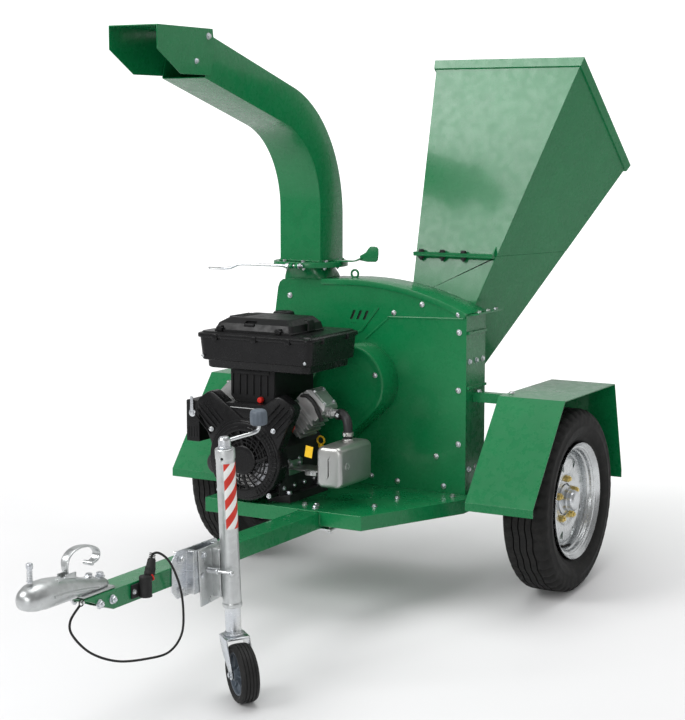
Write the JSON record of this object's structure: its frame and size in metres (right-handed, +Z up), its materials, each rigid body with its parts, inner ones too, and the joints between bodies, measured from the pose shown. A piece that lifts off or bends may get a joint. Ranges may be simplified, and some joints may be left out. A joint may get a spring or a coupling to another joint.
{
  "type": "wood chipper",
  "caption": "Towable single-axle disc wood chipper with engine, belt drive, feed hopper, swivelling discharge chute, ball coupling and wind-down jockey wheel.",
  "frame": {"origin": "on the ground plane, under the middle of the machine's length and width (0.635 m ahead of the axle)", "axes": "+Z up, -Y towards the tow coupling, +X to the side the feed hopper leans to; the machine stands 4 degrees nose-up on its jockey wheel"},
  "size_m": [1.288, 2.5042, 1.7911],
  "materials": {
    "green_paint": "glossy enamel",
    "galvanised": "hot-dip galvanised",
    "zinc_plate": "bright zinc plate",
    "black_plastic": "satin moulded",
    "black_alloy": "black painted casting",
    "black_iron": "black painted casting",
    "cast_alloy": "as cast",
    "tool_steel": "ground",
    "belt_rubber": "matt",
    "tyre_rubber": "matt",
    "muffler_skin": "aluminised sheet",
    "grey_plastic": "moulded",
    "yellow_plastic": "moulded"
  },
  "bodies": {
    "chassis": {"drawbar": "green_paint", "deck_plate": "green_paint", "axle_beam": "galvanised", "casing_front_plate": "green_paint", "casing_wrapper": "green_paint", "casing_rear_plate": "green_paint", "belt_cover": "green_paint", "bearing_front": "black_iron", "bearing_rear": "black_iron", "bed_knife": "tool_steel", "drive_belt": "belt_rubber", "crankcase": "black_alloy", "cylinder_left": "cast_alloy", "cylinder_right": "cast_alloy", "blower_cowl": "black_plastic", "engine_shroud": "black_plastic", "fuel_tank": "black_plastic", "air_cleaner_cover": "black_plastic", "muffler": "muffler_skin", "starter_motor": "black_iron", "control_box": "black_plastic", "spout_base": "green_paint", "hopper_lower": "green_paint", "hopper_upper": "green_paint", "mudguard_left": "green_paint", "mudguard_right": "green_paint", "coupling_body": "galvanised", "trailer_plug_and_cable": "belt_rubber", "jockey_bracket": "zinc_plate"},
    "wheel_left": {"tyre_left": "tyre_rubber", "rim_left": "galvanised", "hub_left": "zinc_plate"},
    "wheel_right": {"tyre_right": "tyre_rubber", "rim_right": "galvanised", "hub_right": "zinc_plate"},
    "rotor": {"rotor_disc": "tool_steel", "rotor_shaft": "tool_steel", "chipping_knife_1": "tool_steel", "chipping_knife_2": "tool_steel", "rotor_pulley": "black_iron"},
    "crank": {"crankshaft": "tool_steel", "engine_pulley": "black_iron"},
    "spout": {"spout_tube": "green_paint"},
    "spout_lever": {"spout_clamp_lever": "zinc_plate"},
    "deflector": {"deflector_hood": "green_paint"},
    "coupling_lever": {"coupling_handle": "galvanised"},
    "ball_clamp": {"coupling_jaw": "galvanised"},
    "coupling_catch": {"coupling_trigger": "galvanised"},
    "jockey_mast": {"jockey_outer_tube": "galvanised"},
    "jockey_lock_pin": {"jockey_pin": "zinc_plate"},
    "jockey_leg": {"jockey_inner_tube": "zinc_plate"},
    "jockey_caster": {"jockey_fork": "zinc_plate"},
    "jockey_wheel": {"jockey_wheel_rim": "grey_plastic", "jockey_wheel_tyre": "belt_rubber"},
    "jockey_winder": {"jockey_crank": "zinc_plate"},
    "jockey_grip": {"jockey_knob": "grey_plastic"},
    "filler_cap": {"fuel_cap": "black_plastic"},
    "cleaner_clip": {"air_cleaner_clip": "black_plastic"},
    "throttle": {"throttle_lever": "zinc_plate"},
    "oil_dipstick": {"dipstick": "yellow_plastic"}
  },
  "joints": [
    {"name": "wheel_left_spin", "type": "hinge", "parent": "chassis", "child": "wheel_left", "pos_m": [-0.569, 0.6349, 0.289], "axis": [1, 0, 0], "continuous": true},
    {"name": "wheel_right_spin", "type": "hinge", "parent": "chassis", "child": "wheel_right", "pos_m": [0.569, 0.6349, 0.289], "axis": [1, 0, 0], "continuous": true},
    {"name": "rotor_spin", "type": "hinge", "parent": "chassis", "child": "rotor", "pos_m": [-0.045, 0.65938, 0.63914], "axis": [0, 0.9976, -0.0698], "continuous": true},
    {"name": "crank_spin", "type": "hinge", "parent": "chassis", "child": "crank", "pos_m": [-0.22, 0.64515, 0.43564], "axis": [0, 0.9976, -0.0698], "continuous": true},
    {"name": "spout_turn", "type": "hinge", "parent": "chassis", "child": "spout", "pos_m": [-0.2855, 0.60203, 1.00885], "axis": [0, 0.0698, 0.9976], "range_deg": [-180, 80]},
    {"name": "spout_lever_turn", "type": "hinge", "parent": "chassis", "child": "spout_lever", "pos_m": [-0.26629, 0.46558, 1.01658], "axis": [0.9903, 0.1388, -0.0097], "range_deg": [-90, 90]},
    {"name": "deflector_tilt", "type": "hinge", "parent": "spout", "child": "deflector", "pos_m": [0, -0.05674, 1.75181], "axis": [1, 0, 0], "range_deg": [0, 50]},
    {"name": "coupling_lever_lift", "type": "hinge", "parent": "chassis", "child": "coupling_lever", "pos_m": [0, -1.08178, 0.46819], "axis": [1, 0, 0], "range_deg": [0, 40]},
    {"name": "ball_clamp_open", "type": "hinge", "parent": "chassis", "child": "ball_clamp", "pos_m": [0, -1.12793, 0.45337], "axis": [1, 0, 0], "range_deg": [-12, 0]},
    {"name": "coupling_catch_pull", "type": "slide", "parent": "chassis", "child": "coupling_catch", "axis": [0, 0.0698, 0.9976], "range_m": [0, 0.008], "stiffness_N_per_m": 400},
    {"name": "jockey_swing", "type": "hinge", "parent": "chassis", "child": "jockey_mast", "pos_m": [0.0665, -0.5491, 0.36511], "axis": [1, 0, 0], "range_deg": [0, 90]},
    {"name": "jockey_pin_pull", "type": "slide", "parent": "jockey_mast", "child": "jockey_lock_pin", "axis": [1, 0, 0], "range_m": [0, 0.012], "stiffness_N_per_m": 800},
    {"name": "jockey_wind", "type": "slide", "parent": "jockey_mast", "child": "jockey_leg", "axis": [0, 0, 1], "range_m": [-0.12, 0.03]},
    {"name": "jockey_winder_turn", "type": "hinge", "parent": "jockey_mast", "child": "jockey_winder", "pos_m": [0.12, -0.5491, 0.6863], "axis": [0, 0, 1], "range_deg": [-3605, 905]},
    {"name": "jockey_grip_spin", "type": "hinge", "parent": "jockey_winder", "child": "jockey_grip", "pos_m": [0.17708, -0.46699, 0.6863], "axis": [0, 0, 1], "continuous": true},
    {"name": "jockey_caster_swivel", "type": "hinge", "parent": "jockey_leg", "child": "jockey_caster", "pos_m": [0.12, -0.5491, 0.166], "axis": [0, 0, 1], "continuous": true},
    {"name": "jockey_wheel_spin", "type": "hinge", "parent": "jockey_caster", "child": "jockey_wheel", "pos_m": [0.16698, -0.58642, 0.08], "axis": [0.622, 0.783, 0], "continuous": true},
    {"name": "filler_cap_turn", "type": "hinge", "parent": "chassis", "child": "filler_cap", "pos_m": [-0.235, 0.33931, 0.86432], "axis": [0, 0.0698, 0.9976], "range_deg": [0, 90]},
    {"name": "cleaner_clip_flip", "type": "hinge", "parent": "chassis", "child": "cleaner_clip", "pos_m": [-0.0545, 0.20367, 0.85977], "axis": [0, 0.9976, -0.0698], "range_deg": [0, 90]},
    {"name": "throttle_turn", "type": "hinge", "parent": "chassis", "child": "throttle", "pos_m": [-0.432, 0.09467, 0.59844], "axis": [0, 0.9976, -0.0698], "range_deg": [-30, 40]},
    {"name": "dipstick_pull", "type": "slide", "parent": "chassis", "child": "oil_dipstick", "axis": [0, 0.0698, 0.9976], "range_m": [0, 0.06]}
  ],
  "couplings": [
    {"joint": "crank_spin", "follows": "rotor_spin", "ratio": 1.4655},
    {"joint": "ball_clamp_open", "follows": "coupling_lever_lift", "ratio": -0.3},
    {"joint": "jockey_winder_turn", "follows": "jockey_wind", "rad_per_m": 523.6}
  ]
}
